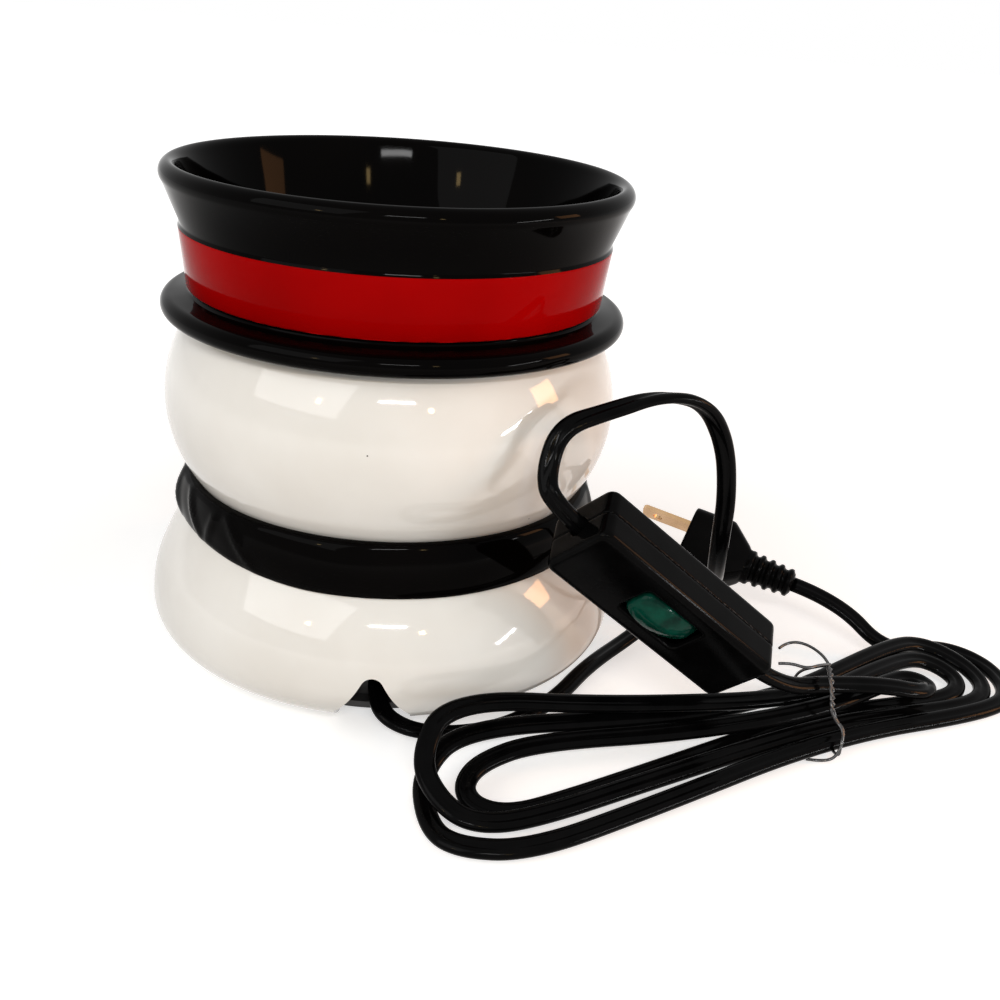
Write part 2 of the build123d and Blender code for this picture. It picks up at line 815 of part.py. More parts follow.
inlet_plane = Plane(origin=switch_plane.origin, x_dir=switch_plane.y_dir, z_dir=switch_plane.x_dir)
half_shells = []
for direction in (1, -1):
    with BuildPart() as half_shell:
        with BuildSketch(switch_plane):
            RectangleRounded(switch_length, switch_width, switch_corner)
        extrude(amount=direction * half_height)
        outer_face = switch_plane.offset(direction * half_height)
        rim = [edge for edge in half_shell.edges() if abs(outer_face.to_local_coords(edge @ 0.5).Z) < 0.01]
        fillet(rim, radius=switch_edge)
        with BuildSketch(switch_plane):
            RectangleRounded(
                switch_length - 2 * switch_wall,
                switch_width - 2 * switch_wall,
                switch_corner - switch_wall / 2,
            )
        extrude(amount=direction * roof, mode=Mode.SUBTRACT)
        with BuildSketch(switch_plane):
            with Locations(*switch_screw_places):
                Circle(boss_radius_switch)
        extrude(amount=direction * roof)
        for end in (-1, 1):
            with BuildSketch(inlet_plane.offset(end * switch_length / 2)):
                Circle(cord_radius + cord_fit)
            extrude(amount=-end * switch_wall, mode=Mode.SUBTRACT)
    half_shells.append(half_shell.part)

with BuildPart() as switch_top_shell:
    add(half_shells[0])
    with BuildSketch(switch_plane.offset(roof)):
        RectangleRounded(
            2 * math.hypot(rocker_length / 2, rocker_edge_rise) + 2 * rocker_gap,
            rocker_width + 2 * rocker_gap,
            rocker_rounding,
        )
    extrude(amount=switch_wall, mode=Mode.SUBTRACT)
    cheek_y = rocker_width / 2 + rocker_gap + cheek_thickness / 2
    with BuildSketch(switch_plane.offset(roof)):
        with Locations((0, -cheek_y), (0, cheek_y)):
            Rectangle(cheek_length, cheek_thickness)
    extrude(amount=-cheek_drop)
    with BuildSketch(switch_side):
        with Locations((0, pivot_height)):
            Circle(pin_radius + pin_fit)
    extrude(amount=cheek_y + cheek_thickness, both=True, mode=Mode.SUBTRACT)
    with BuildSketch(switch_plane):
        with Locations(*switch_screw_places):
            Circle(screw_radius + screw_fit)
    extrude(amount=screw_bite + screw_fit, mode=Mode.SUBTRACT)
switch_top_shell.part.label = "switch_top_shell"
export_step(switch_top_shell.part, "parts/switch_top_shell.step")

lamp_bottom = lamp_height - lamp_radius
with BuildPart() as switch_bottom_shell:
    add(half_shells[1])
    with BuildSketch(switch_plane.offset(-half_height)):
        with Locations(*switch_screw_places):
            Circle(screw_radius + screw_fit)
    extrude(amount=half_height, mode=Mode.SUBTRACT)
    with BuildSketch(switch_plane.offset(-half_height)):
        with Locations(*switch_screw_places):
            Circle(screw_head_radius + screw_fit)
    extrude(amount=screw_head_height, mode=Mode.SUBTRACT)
    with BuildSketch(switch_plane.offset(-roof)):
        with Locations((0, lamp_y)):
            Rectangle(cradle_length, cradle_width)
    extrude(amount=roof + lamp_bottom - lever_gap)
switch_bottom_shell.part.label = "switch_bottom_shell"
export_step(switch_bottom_shell.part, "parts/switch_bottom_shell.step")

with BuildPart() as switch_screws:
    with BuildSketch(switch_plane.offset(-half_height + screw_head_height)):
        with Locations(*switch_screw_places):
            Circle(screw_head_radius)
    extrude(amount=-screw_head_height)
    with BuildSketch(switch_plane.offset(-half_height + screw_head_height)):
        with Locations(*switch_screw_places):
            Circle(screw_radius)
    extrude(amount=half_height - screw_head_height + screw_bite)
switch_screws.part.label = "switch_screws"
export_step(switch_screws.part, "parts/switch_screws.step")


# Rocker at rest with its +x end down, on two pins, with the plunger in its stem
pivot_plane = tilted(switch_plane.offset(pivot_height), rocker_tilt)
rocker_side = Plane(origin=pivot_plane.origin, x_dir=pivot_plane.x_dir, z_dir=pivot_plane.y_dir * -1)
with BuildPart() as rocker:
    with BuildSketch(rocker_side):
        with BuildLine():
            ThreePointArc(
                (-rocker_length / 2, rocker_edge_rise),
                (0, rocker_crown_rise),
                (rocker_length / 2, rocker_edge_rise),
            )
            Polyline(
                (rocker_length / 2, rocker_edge_rise),
                (rocker_length / 2, rocker_skirt),
                (rocker_floor_half, -rocker_floor),
                (-rocker_floor_half, -rocker_floor),
                (-rocker_length / 2, rocker_skirt),
                (-rocker_length / 2, rocker_edge_rise),
            )
        make_face()
    extrude(amount=rocker_width / 2, both=True)
    crown = [edge for edge in edges() if pivot_plane.to_local_coords(edge @ 0.5).Z > rocker_edge_rise - 0.01]
    fillet(crown, radius=rocker_rounding)
    with BuildSketch(rocker_side):
        Circle(pin_radius)
    extrude(amount=rocker_width / 2 + rocker_gap + cheek_thickness, both=True)
    with BuildSketch(pivot_plane.offset(-rocker_floor)):
        Rectangle(stem_size, stem_size)
    extrude(amount=-stem_drop)
rocker.part.label = "rocker"
export_step(rocker.part, "parts/rocker.step")

stem_bottom = rocker_floor + stem_drop
with BuildPart() as rocker_plunger:
    with BuildSketch(pivot_plane.offset(-stem_bottom)):
        Circle(plunger_radius)
    extrude(amount=-plunger_length)
    rings = rocker_plunger.edges().filter_by(GeomType.CIRCLE)
    chamfer(rings.sort_by(Axis(pivot_plane.origin, pivot_plane.z_dir))[:1], length=plunger_radius / 2)
rocker_plunger.part.label = "rocker_plunger"
export_step(rocker_plunger.part, "parts/rocker_plunger.step")


# Contact lever under the plunger, its terminal post and the terminal that it closes on
tip_height = pivot_height - (stem_bottom + plunger_length)
lever_height = tip_height - lever_gap - lever_pin_radius
lever_plane = tilted(switch_plane.offset(lever_height), -lever_tilt)
with BuildPart() as contact_lever:
    with BuildSketch(lever_plane.offset(-lever_thickness / 2)):
        Rectangle(lever_length, lever_width)
    extrude(amount=lever_thickness)
    with BuildSketch(lever_plane.offset(-lever_thickness / 2)):
        with Locations((lever_length / 2 - contact_inset, 0)):
            Circle(contact_radius)
    extrude(amount=-contact_height)
    lever_side = Plane(origin=lever_plane.origin, x_dir=lever_plane.x_dir, z_dir=lever_plane.y_dir * -1)
    with BuildSketch(lever_side):
        Circle(lever_pin_radius)
    extrude(amount=lever_width / 2, both=True)
contact_lever.part.label = "contact_lever"
export_step(contact_lever.part, "parts/contact_lever.step")

lever_bottom = lever_height - lever_thickness / 2
post_top = lever_height - lever_pin_radius - lever_gap
with BuildPart() as lever_post:
    with BuildSketch(switch_plane.offset(-roof)):
        Rectangle(post_length, lever_width)
    extrude(amount=roof + post_top)
lever_post.part.label = "lever_post"
export_step(lever_post.part, "parts/lever_post.step")

contact_sweep = math.sin(math.radians(lever_tilt)) * (lever_length / 2 + contact_radius)
terminal_top = lever_bottom - contact_height - contact_sweep - lever_gap
terminal_x = lever_length / 2 - terminal_inset + terminal_length / 2
with BuildPart() as line_terminal:
    with BuildSketch(switch_plane.offset(-roof)):
        with Locations((terminal_x, 0)):
            Rectangle(terminal_length, terminal_width)
    extrude(amount=roof + terminal_top)
line_terminal.part.label = "line_terminal"
export_step(line_terminal.part, "parts/line_terminal.step")

with BuildPart() as neon_lamp:
    lamp_axis = Plane(
        origin=switch_plane.from_local_coords(Vector(-lamp_length / 2, lamp_y, lamp_height)),
        x_dir=switch_plane.y_dir,
        z_dir=switch_plane.x_dir,
    )
    with BuildSketch(lamp_axis):
        Circle(lamp_radius)
    extrude(amount=lamp_length)
    chamfer(edges().filter_by(GeomType.CIRCLE), length=lamp_radius / 2)
neon_lamp.part.label = "neon_lamp"
export_step(neon_lamp.part, "parts/neon_lamp.step")

cord_end_x = switch_length / 2 - switch_cord_depth
wire_height = -roof + wire_radius + cord_fit
neutral_y = switch_width / 2 - switch_wall - wire_radius - cord_fit
live_end_x = terminal_x + terminal_length / 2
live_in = [
    (-cord_end_x, -wire_spread, 0),
    (-cord_end_x + 3 * lead_bend / 2, -wire_spread, 0),
    (-lever_length / 2 - lead_bend, -wire_spread, wire_height),
    (-post_length / 2, -wire_spread, wire_height),
]
live_out = [
    (live_end_x, -wire_spread, wire_height),
    (live_end_x + lead_bend, -wire_spread, wire_height),
    (cord_end_x - lead_bend, -wire_spread, 0),
    (cord_end_x, -wire_spread, 0),
]
neutral = [
    (-cord_end_x, wire_spread, 0),
    (-cord_end_x + lead_bend, wire_spread, 0),
    (-cord_end_x + 4 * lead_bend, neutral_y, wire_height),
    (cord_end_x - 4 * lead_bend, neutral_y, wire_height),
    (cord_end_x - lead_bend, wire_spread, 0),
    (cord_end_x, wire_spread, 0),
]
with BuildPart() as switch_wires:
    for route in (live_in, live_out, neutral):
        places = [switch_plane.from_local_coords(Vector(*point)) for point in route]
        with BuildLine() as path:
            FilletPolyline(*places, radius=wire_bend)
        with BuildSketch(Plane(origin=path.line @ 0, z_dir=path.line % 0)):
            RegularPolygon(wire_radius, wire_sides)
        sweep()
switch_wires.part.label = "switch_wires"
export_step(switch_wires.part, "parts/switch_wires.step")


# Cord from the notch to the switch
switch_start = switch_plane.from_local_coords(Vector(-cord_end_x, 0, 0))
switch_mouth = switch_plane.from_local_coords(Vector(-switch_length / 2 - lead_approach, 0, 0))
lead_points = [Vector(*point) for point in lead_route] + [switch_mouth, switch_start]
lead_radii = corner_radii(lead_points)
print("cord_lead radii", [round(radius, 1) for radius in lead_radii])
with BuildPart() as cord_lead:
    with BuildLine() as lead_path:
        FilletPolyline(*lead_points, radius=lead_radii)
    with BuildSketch(Plane(origin=lead_path.line @ 0, z_dir=lead_path.line % 0)):
        RegularPolygon(cord_radius, cord_sides)
    sweep()
cord_lead.part.label = "cord_lead"
export_step(cord_lead.part, "parts/cord_lead.step")
report_tube("cord_lead", cord_lead.part, lead_path.wire(), cord_area)


# Hank: the cord goes from the switch round an inner loop and then out through the turns to the plug
hank_plane = Plane(origin=hank_origin, x_dir=hank_along, z_dir=(0, 0, 1))
plug_plane = Plane(origin=plug_cord_end, x_dir=plug_across, z_dir=plug_along)
switch_end = switch_plane.from_local_coords(Vector(cord_end_x, 0, 0))
switch_exit = switch_plane.from_local_coords(Vector(switch_length / 2 + lead_in_length, 0, 0))
plug_approach = plug_plane.from_local_coords(Vector(0, 0, -lead_out_length))
front_waist_height = strand_height + waist_lift
back_waist_height = front_waist_height + layer_step
hank_points = [
    hank_plane.to_local_coords(switch_end),
    hank_plane.to_local_coords(switch_exit),
    Vector(*lead_in_waist),
    Vector(*lead_in_turn),
    Vector(inner_loop_x, *inner_loop_front),
    Vector(inner_loop_x, *inner_loop_back),
]
for turn in range(hank_turns):
    nest = turn * strand_step
    left_x = -left_end_x[turn]
    hank_points += [
        Vector(0, back_waist_y + turn * waist_step, back_waist_height),
        Vector(left_x, left_back_y + nest, left_back_height + turn * left_back_rise),
        Vector(left_x, left_front_y[turn], strand_height),
    ]
    if turn == hank_turns - 1:
        hank_points.append(Vector(-outer_belly_x, outer_belly_y, strand_height))
    hank_points += [
        Vector(0, front_waist_y - turn * waist_step, front_waist_height),
        Vector(right_end_x + nest, right_front_y - nest, strand_height),
        Vector(right_end_x + nest, right_back_y[turn], right_back_height[turn]),
    ]
hank_points += [
    Vector(*lead_out),
    hank_plane.to_local_coords(plug_approach),
    hank_plane.to_local_coords(Vector(*plug_cord_end)),
]
hank_radii = corner_radii(hank_points)
print("cord_hank radii", [round(radius, 1) for radius in hank_radii])
with BuildPart() as cord_hank:
    with BuildLine() as hank_path:
        FilletPolyline(*[hank_plane.from_local_coords(point) for point in hank_points], radius=hank_radii)
    with BuildSketch(Plane(origin=hank_path.line @ 0, z_dir=hank_path.line % 0)):
        RegularPolygon(cord_radius, cord_sides)
    sweep()
cord_hank.part.label = "cord_hank"
export_step(cord_hank.part, "parts/cord_hank.step")
hank_wire = hank_path.wire()
report_tube("cord_hank", cord_hank.part, hank_wire, cord_area)

sample_step = 1.5
sample_count = int(hank_wire.length / sample_step)
samples = [hank_plane.to_local_coords(hank_wire @ (i / sample_count)) for i in range(sample_count + 1)]
near = int(4 * cord_diameter / sample_step)
least_gap = min(
    (samples[i] - samples[j]).length for i in range(sample_count) for j in range(i + near, sample_count + 1)
)
print(f"cord_hank least gap to itself {least_gap - cord_diameter:.2f}")


# Wire tie: a loop hugging the strands where they cross the waist, with its twisted ends on top
waist = [a + (b - a) * (a.X / (a.X - b.X)) for a, b in zip(samples, samples[1:]) if a.X * b.X <= 0]
tie_plane = Plane(
    origin=hank_plane.from_local_coords(Vector(-tie_wire / 2, 0, 0)),
    x_dir=hank_plane.y_dir,
    z_dir=hank_plane.x_dir,
)
top_strand = max(waist, key=lambda place: place.Z)
with BuildPart() as twist_tie:
    with BuildSketch(tie_plane):
        for outline, mode in ((tie_fit + tie_wire, Mode.ADD), (tie_fit, Mode.SUBTRACT)):
            with BuildSketch(tie_plane, mode=mode):
                with Locations(*[(place.Y, place.Z) for place in waist]):
                    Circle(cord_radius + outline)
                make_hull()
    extrude(amount=tie_wire)
    with BuildSketch(hank_plane.offset(top_strand.Z + cord_radius + tie_fit)):
        with Locations((0, top_strand.Y)):
            Circle(tie_twist_radius)
    extrude(amount=tie_twist_length)
twist_tie.part.label = "twist_tie"
export_step(twist_tie.part, "parts/twist_tie.step")


# Plug: a ribbed strain relief that swells into the grip, and two flat blades
plug_face = relief_length + plug_shoulder_length + plug_grip_length
plug_profile = Plane(origin=plug_cord_end, x_dir=plug_plane.x_dir, z_dir=plug_plane.y_dir * -1)
with BuildPart() as plug_body:
    with BuildSketch(plug_profile):
        with BuildLine():
            Polyline(
                (0, 0),
                (relief_tip_radius, 0),
                (relief_root_radius, relief_length + plug_shoulder_length / 2),
                (0, relief_length + plug_shoulder_length / 2),
                close=True,
            )
        make_face()
        rib_pitch = relief_length / relief_rib_count
        for rib in range(relief_rib_count):
            rib_base = (rib + 0.5) * rib_pitch
            slope = (relief_root_radius - relief_tip_radius) / relief_length
            rib_radius = relief_tip_radius + slope * rib_base + relief_rib_rise
            with Locations((rib_radius / 2, rib_base)):
                Rectangle(rib_radius, relief_rib_width)
    revolve(axis=Axis(plug_plane.origin, plug_plane.z_dir))
    with BuildSketch(plug_plane.offset(relief_length)):
        RectangleRounded(2.4 * relief_root_radius, 2.2 * relief_root_radius, 0.8 * relief_root_radius)
    with BuildSketch(plug_plane.offset(relief_length + plug_shoulder_length)):
        RectangleRounded(plug_width, plug_thickness, plug_rounding)
    loft()
    with BuildSketch(plug_plane.offset(relief_length + plug_shoulder_length)):
        RectangleRounded(plug_width, plug_thickness, plug_rounding)
    extrude(amount=plug_grip_length)
plug_body.part.label = "plug_body"
export_step(plug_body.part, "parts/plug_body.step")

with BuildPart() as plug_blades:
    for side in (-1, 1):
        blade_start = side * blade_spacing / 2 - blade_thickness / 2
        blade_plane = Plane(
            origin=plug_plane.from_local_coords(Vector(blade_start, 0, plug_face)),
            x_dir=plug_plane.y_dir,
            z_dir=plug_plane.x_dir,
        )
        with BuildSketch(blade_plane):
            with Locations((0, blade_length / 2)):
                Rectangle(blade_width, blade_length)
            chamfer(vertices().sort_by(Axis(blade_plane.origin, blade_plane.y_dir))[-2:], length=blade_bevel)
            with Locations((0, blade_hole_rise)):
                Circle(blade_hole_radius, mode=Mode.SUBTRACT)
        extrude(amount=blade_thickness)
plug_blades.part.label = "plug_blades"
export_step(plug_blades.part, "parts/plug_blades.step")
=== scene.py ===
"""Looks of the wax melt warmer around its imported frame.

Glazed castings, twin cord, switch, plug and wire tie, and the studio that they stand in.
"""
import math

import bpy
from mathutils import Matrix, Quaternion, Vector


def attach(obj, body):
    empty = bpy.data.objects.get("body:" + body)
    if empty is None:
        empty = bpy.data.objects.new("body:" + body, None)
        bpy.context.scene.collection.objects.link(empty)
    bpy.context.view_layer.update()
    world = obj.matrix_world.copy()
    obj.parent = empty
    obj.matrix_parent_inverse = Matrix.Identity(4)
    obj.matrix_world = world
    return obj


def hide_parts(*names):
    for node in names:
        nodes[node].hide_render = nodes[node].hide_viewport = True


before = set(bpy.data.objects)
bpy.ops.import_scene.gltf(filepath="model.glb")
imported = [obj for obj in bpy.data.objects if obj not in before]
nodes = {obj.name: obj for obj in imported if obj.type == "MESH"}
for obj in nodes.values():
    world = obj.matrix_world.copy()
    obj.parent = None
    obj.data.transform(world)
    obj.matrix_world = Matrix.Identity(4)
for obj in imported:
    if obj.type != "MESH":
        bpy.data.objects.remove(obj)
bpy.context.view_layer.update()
scene = bpy.context.scene
MM = 0.001


def metres(points):
    return [Vector(point) * MM for point in points]


# Camera at the photograph's place, square frame
PHOTO_SIDE = 1000  # pixels
FOCAL_LENGTH = 1300  # pixels
SENSOR = 36  # millimetres
camera_place = (23.098, -377.649, 203.903)
right = Vector((0.99750, -0.00327, 0.07052))
up = Vector((-0.06405, 0.37832, 0.92346))
back = Vector((-0.02970, -0.92567, 0.37717))
camera = bpy.data.objects.new("camera", bpy.data.cameras.new("camera"))
camera.data.lens = SENSOR * FOCAL_LENGTH / PHOTO_SIDE
camera.data.sensor_width = SENSOR
camera.data.clip_start = 0.01
turn = Matrix((right, up, back)).transposed()
camera.matrix_world = Matrix.Translation(Vector(camera_place) * MM) @ turn.to_4x4()
scene.collection.objects.link(camera)
scene.camera = camera


# Frames of the switch, the hank and the plug, in millimetres, as in the part
switch_centre = Vector((79.7, -61.5, 49.9))
switch_z = Vector((-0.168, -0.890, -0.424)).normalized()
switch_x = Vector((0.760, 0.157, -0.631))
switch_x = (switch_x - switch_z * switch_x.dot(switch_z)).normalized()
switch_y = switch_z.cross(switch_x)
hank_origin = Vector((131.6, -45.3, 0.0))
hank_x = Vector((0.930, 0.369, 0.0)).normalized()
hank_y = Vector((0, 0, 1)).cross(hank_x)
plug_end = Vector((136.0, 15.6, 20.0))
plug_z = Vector((-0.913, 0.374, 0.163)).normalized()


def on_switch(x, y, z):
    return switch_centre + switch_x * x + switch_y * y + switch_z * z


def on_hank(x, y, z):
    return hank_origin + hank_x * x + hank_y * y + Vector((0, 0, z))


# Cord: a flat twin lead that follows a NURBS line along the route's points
def smooth_line(points, resolution=14):
    curve = bpy.data.curves.new("line", "CURVE")
    curve.dimensions = "3D"
    spline = curve.splines.new("NURBS")
    spline.points.add(len(points) - 1)
    for place, point in zip(spline.points, points):
        place.co = (*point, 1)
    spline.use_endpoint_u = True
    spline.order_u = 3
    spline.resolution_u = resolution
    holder = bpy.data.objects.new("line", curve)
    scene.collection.objects.link(holder)
    mesh = bpy.data.meshes.new_from_object(holder)
    line = [vertex.co.copy() for vertex in mesh.vertices]
    bpy.data.objects.remove(holder)
    bpy.data.curves.remove(curve)
    bpy.data.meshes.remove(mesh)
    return line


def mesh_object(name, vertices, faces, smooth=True):
    mesh = bpy.data.meshes.new(name)
    mesh.from_pydata(vertices, [], faces)
    if smooth:
        mesh.shade_smooth()
    piece = bpy.data.objects.new(name, mesh)
    scene.collection.objects.link(piece)
    return piece


CORD_WIDTH = 5.6 * MM
CORD_THICKNESS = 3.3 * MM
GROOVE_DEPTH = 0.34  # of half the thickness
GROOVE_WIDTH = 0.55 * MM
FULLNESS = 0.75  # below 1 the section is fuller than an ellipse
SIDES = 24


def twin_section():
    outline = []
    for index in range(SIDES):
        angle = 2 * math.pi * index / SIDES
        across = CORD_WIDTH / 2 * math.cos(angle)
        round_off = abs(math.sin(angle)) ** FULLNESS
        groove = 1 - GROOVE_DEPTH * math.exp(-((across / GROOVE_WIDTH) ** 2))
        out = math.copysign(CORD_THICKNESS / 2 * round_off * groove, math.sin(angle))
        outline.append((across, out))
    return outline


def ease(low, high, value):
    share = min(max((value - low) / (high - low), 0), 1)
    return share * share * (3 - 2 * share)


def twin_cord(name, line, turns):
    """A twin cord along the line.

    At each (place, way) of turns its flat side looks that way, and it twists between them.
    """
    last = len(line) - 1
    alongs = [(line[min(i + 1, last)] - line[max(i - 1, 0)]).normalized() for i in range(last + 1)]
    outs = [alongs[0].cross(alongs[0].orthogonal()).normalized()]
    for before, after in zip(alongs, alongs[1:]):
        outs.append(before.rotation_difference(after) @ outs[-1])
    keys = []
    for place, way in turns:
        index = min(range(last + 1), key=lambda i: (line[i] - place).length)
        along, out = alongs[index], outs[index]
        level = way - along * way.dot(along)
        angle = math.atan2(along.dot(out.cross(level)), out.dot(level))
        if keys:
            angle -= math.pi * round((angle - keys[-1][1]) / math.pi)
        keys.append((index, angle))
    section = twin_section()
    vertices = []
    for index, point in enumerate(line):
        angle = keys[0][1]
        for (first, start), (second, end) in zip(keys, keys[1:]):
            if first < index:
                angle = start + (end - start) * ease(first, second, index)
        out = Matrix.Rotation(angle, 3, alongs[index]) @ outs[index]
        across = alongs[index].cross(out).normalized()
        vertices += [point + across * x + out * y for x, y in section]
    faces = []
    for ring in range(last):
        for side in range(SIDES):
            a = ring * SIDES + side
            b = ring * SIDES + (side + 1) % SIDES
            faces.append((a, b, b + SIDES, a + SIDES))
    faces.append(tuple(reversed(range(SIDES))))
    faces.append(tuple(last * SIDES + side for side in range(SIDES)))
    return mesh_object(name, vertices, faces)


lead_route = [
    (2.2, -46, 11), (2.4, -54.5, 10.6), (5, -60.5, 6.6), (14, -62.5, 3.4), (27, -60.5, 2.4),
    (41, -54, 2.2), (55, -39, 2.4), (66, -18, 3), (82, 2, 4), (98, 12, 14), (105, -4, 27),
    (101, -23, 40), (99.2, -31, 56), (98.9, -33.2, 69), (95.4, -37.2, 86.5), (87.4, -42.3, 99.6),
    (73.9, -47.9, 102.4), (60.0, -53.0, 98.6), (47.8, -57.2, 95.0), (44.6, -61.5, 84.0),
    on_switch(-44, 0, 0), on_switch(-25, 0, 0),
]
lead_line = smooth_line(metres(lead_route), resolution=24)

# The lead lies flat on the floor, rises with its flat side to the front, and turns it up over the arch
flat_up = Vector((0, 0, 1))
lead_turns = [
    ((2.2, -46, 11), flat_up), ((28, -61, 2.4), flat_up), ((66, -18, 3), flat_up),
    ((88, 6, 8), flat_up), ((102, -19, 38), back), ((98.8, -32, 66), back), ((96, -36.5, 80), back),
    ((82, -44.5, 98), up), ((62, -52, 97.5), back + up), ((47, -59, 88), back),
    (on_switch(-40, 0, 0), switch_z),
]
lead_turns = [(Vector(place) * MM, way) for place, way in lead_turns]
cord_lead = twin_cord("lead_cord", lead_line, lead_turns)
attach(cord_lead, "base")
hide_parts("cord_lead")

hank_laps = [
    [
        (0, -4, 10.8), (-45, -2.5, 9.5), (-88, 4.5, 9.5), (-106, 1, 8.6), (-113.5, -5, 6.4),
        (-112.5, -12, 4.2), (-104, -16.3, 3.1), (-88, -14.2, 2.9), (-50, -7.4, 3.6), (0, 1.8, 4.8),
        (25, 1.8, 3.8), (46, 1.6, 2.9), (56, 3.4, 3), (61, 8.5, 3.8), (59, 15.5, 5.6), (51, 19, 8),
        (35, 14.5, 9.7),
    ],
    [
        (0, 2, 10.8), (-64, 6, 16.1), (-113, 10, 24), (-124.5, -1, 14), (-122.5, -13.5, 8.6),
        (-115.5, -20.2, 5.4), (-100, -20.8, 4.2), (-60, -13.4, 4.2), (0, -3.8, 4.8), (30, -3.8, 3.8),
        (53, -3.8, 2.9), (63, -1, 3.1), (68.5, 6, 3.8), (68, 16, 5.5), (60, 25, 8.5), (46, 24, 11),
    ],
    [
        (0, 8, 10.8), (-16, 7.5, 9.4), (-36, 4.5, 10.4), (-62, 5.5, 11.8), (-107, 12, 12.5),
        (-122, 3.5, 7), (-126, -14, 2.9), (-122, -24.5, 2.9), (-105, -31, 2.9), (-70, -24, 2.9),
        (0, -9.4, 4.8), (60, -8.5, 2.9), (74, -1, 3), (78, 15, 4), (69, 28, 5),
    ],
]
first_fold = [
    (4, 0, 16.2), (22, -3, 14.6), (34, -5, 11.6), (41, -1, 10.2), (38, 6.5, 10), (25, 3.5, 10.6),
]
hank_route = [on_switch(25, 0, 0), on_switch(48, 0, 0)]
hank_route += [on_hank(*point) for lap in (first_fold, *hank_laps) for point in lap]
hank_route += [on_hank(48, 29, 5), plug_end - plug_z * 16, plug_end]
hank_line = smooth_line(metres(hank_route))
lying = Vector((0, -0.45, 0.9))
LYING_EVERY = 6  # points of the line
cord_hank = twin_cord("hank_cord", hank_line, [(point, lying) for point in hank_line[::LYING_EVERY]])
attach(cord_hank, "base")
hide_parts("cord_hank")


# Materials
def material(name, color, roughness, metallic=0.0, specular=0.5):
    made = bpy.data.materials.new(name)
    made.use_nodes = True
    shader = made.node_tree.nodes["Principled BSDF"]
    shader.inputs["Base Color"].default_value = (*color, 1)
    shader.inputs["Roughness"].default_value = roughness
    shader.inputs["Metallic"].default_value = metallic
    shader.inputs["Specular IOR Level"].default_value = specular
    return made, made.node_tree, shader


def add_node(tree, kind, settings=None, **inputs):
    made = tree.nodes.new(kind)
    for key, value in (settings or {}).items():
        setattr(made, key, value)
    for key, value in inputs.items():
        made.inputs[key.replace("_", " ")].default_value = value
    return made


def noise(tree, scale, detail=3.0):
    place = add_node(tree, "ShaderNodeTexCoord")
    made = add_node(tree, "ShaderNodeTexNoise", Scale=scale, Detail=detail)
    tree.links.new(place.outputs["Object"], made.inputs["Vector"])
    return made.outputs["Fac"]


def ramp(tree, source, low, high, dark, light):
    made = add_node(tree, "ShaderNodeValToRGB")
    made.color_ramp.elements[0].position = low
    made.color_ramp.elements[0].color = (*dark, 1)
    made.color_ramp.elements[1].position = high
    made.color_ramp.elements[1].color = (*light, 1)
    tree.links.new(source, made.inputs["Fac"])
    return made.outputs["Color"]


def spread(tree, source, low, high):
    made = add_node(tree, "ShaderNodeMapRange", To_Min=low, To_Max=high)
    tree.links.new(source, made.inputs["Value"])
    return made.outputs["Result"]


def bump(tree, source, strength, distance):
    made = add_node(tree, "ShaderNodeBump", Strength=strength, Distance=distance)
    tree.links.new(source, made.inputs["Height"])
    return made.outputs["Normal"]


def surface(name, dark, light, roughness, grain, relief, metallic=0.0, specular=0.5):
    """A mottled material: colour and roughness vary with one noise, the relief with a finer one."""
    made, tree, shader = material(name, light, roughness[0], metallic, specular)
    tone = noise(tree, grain)
    tree.links.new(ramp(tree, tone, 0.3, 0.7, dark, light), shader.inputs["Base Color"])
    tree.links.new(spread(tree, tone, *roughness), shader.inputs["Roughness"])
    fine = noise(tree, relief[0], 4.0)
    tree.links.new(bump(tree, fine, relief[1], relief[2]), shader.inputs["Normal"])
    return made


def combine(tree, operation, first, second):
    """A math node of two values, each a socket or a number."""
    made = add_node(tree, "ShaderNodeMath", {"operation": operation})
    for place, value in zip(made.inputs, (first, second)):
        if isinstance(value, (int, float)):
            place.default_value = value
        else:
            tree.links.new(value, place)
    return made.outputs[0]


PINHOLE_CELLS = 90  # to the metre
PINHOLE_RADIUS = 0.022  # of a cell
PINHOLE_FREE = 0.8  # share of cells without one


def pinholes(tree, tone, colour):
    """Dark specks in a few cells of a loose pattern, over a tone."""
    place = add_node(tree, "ShaderNodeTexCoord")
    cells = add_node(tree, "ShaderNodeTexVoronoi", Scale=PINHOLE_CELLS)
    tree.links.new(place.outputs["Object"], cells.inputs["Vector"])
    lot = add_node(tree, "ShaderNodeSeparateColor")
    tree.links.new(cells.outputs["Color"], lot.inputs["Color"])
    speck = combine(tree, "LESS_THAN", cells.outputs["Distance"], PINHOLE_RADIUS)
    rare = combine(tree, "GREATER_THAN", lot.outputs["Red"], PINHOLE_FREE)
    mixed = add_node(tree, "ShaderNodeMix", {"data_type": "RGBA"})
    tree.links.new(combine(tree, "MULTIPLY", speck, rare), mixed.inputs["Factor"])
    tree.links.new(tone, mixed.inputs[6])
    mixed.inputs[7].default_value = (*colour, 1)
    return mixed.outputs[2]


def glaze(name, dark, light, specular, specks=None):
    """Fired glaze: slow waves in a glossy skin, soft changes of tone, and specks."""
    made, tree, shader = material(name, light, 0.06, specular=specular)
    tone = ramp(tree, noise(tree, 28, 4.0), 0.3, 0.72, dark, light)
    if specks:
        tone = pinholes(tree, tone, specks)
    tree.links.new(tone, shader.inputs["Base Color"])
    tree.links.new(spread(tree, noise(tree, 18), 0.03, 0.08), shader.inputs["Roughness"])
    tree.links.new(bump(tree, noise(tree, 55, 1.0), 0.12, 0.0008), shader.inputs["Normal"])
    return made


